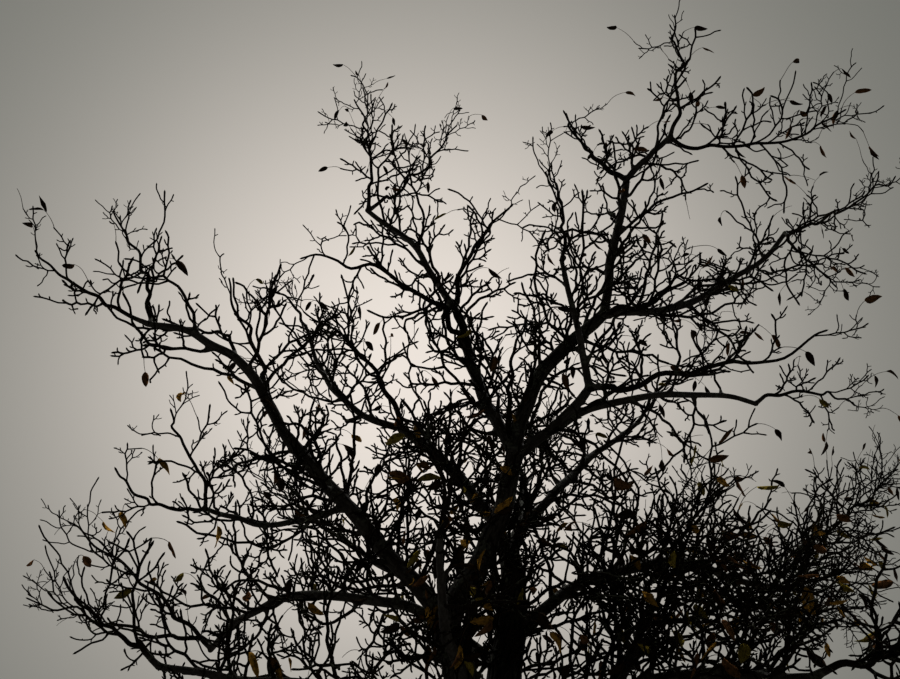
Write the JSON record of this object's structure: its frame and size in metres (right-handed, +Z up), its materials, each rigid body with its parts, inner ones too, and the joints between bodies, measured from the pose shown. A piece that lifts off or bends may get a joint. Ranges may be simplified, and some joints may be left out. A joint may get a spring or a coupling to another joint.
{
  "type": "bare winter tree",
  "caption": "Bare deciduous tree in winter: a short leaning trunk that forks low, crooked tapering boughs and open masses of stout, kinked twigs.",
  "frame": {"origin": "middle of the flat cut under the trunk, at ground level", "axes": "+Z up; +X to the right and +Y away, seen from where the picture looks up at the tree"},
  "size_m": [7.8343, 5.5337, 8.1196],
  "materials": {
    "bark": "furrowed grey-brown bark, dull, with a little moss and lichen",
    "twigs": "smooth dark brown twig bark, dull",
    "withered_leaf": "dry, curled yellow-brown leaves, dull"
  },
  "bodies": {
    "root": {"trunk": "bark", "stem_left": "bark", "stem_right": "bark", "leader_low": "bark", "leader_mid": "bark", "leader_high": "bark", "leader_top": "bark", "bough_left": "bark", "bough_left_outer": "bark", "bough_left_low": "bark", "bough_low_left": "bark", "bough_mid_left": "bark", "bough_mid_outer": "bark", "bough_high": "bark", "bough_high_outer": "bark", "bough_right": "bark", "bough_right_up": "bark", "bough_right_far": "bark", "bough_upper_right": "bark", "bough_back_right": "bark", "bough_low_right": "bark", "bough_lowest_right": "bark", "bough_rising": "bark", "bough_lowest_left": "bark", "bough_back_left": "bark", "bough_back": "bark", "bough_front": "bark", "twigs_top": "twigs", "twigs_top_right": "twigs", "twigs_top_left": "twigs", "twigs_leader_mid": "twigs", "twigs_high": "twigs", "twigs_high_inner": "twigs", "twigs_centre_up": "twigs", "twigs_high_side": "twigs", "twigs_left_tip": "twigs", "twigs_left_up": "twigs", "twigs_left_inner": "twigs", "twigs_left_low": "twigs", "twigs_left_low_up": "twigs", "twigs_low_left": "twigs", "twigs_low_left_up": "twigs", "twigs_lowest_left": "twigs", "twigs_mid_outer": "twigs", "twigs_mid_side": "twigs", "twigs_right_up": "twigs", "twigs_right_mid": "twigs", "twigs_upper_right": "twigs", "twigs_upper_right_down": "twigs", "twigs_right_far": "twigs", "twigs_back_right": "twigs", "twigs_low_right": "twigs", "twigs_low_right_inner": "twigs", "twigs_lowest_right": "twigs", "twigs_rising_right": "twigs", "twigs_rising_up": "twigs", "twigs_centre": "twigs", "twigs_back_left": "twigs", "twigs_back": "twigs", "twigs_front": "twigs"}
  },
  "joints": []
}
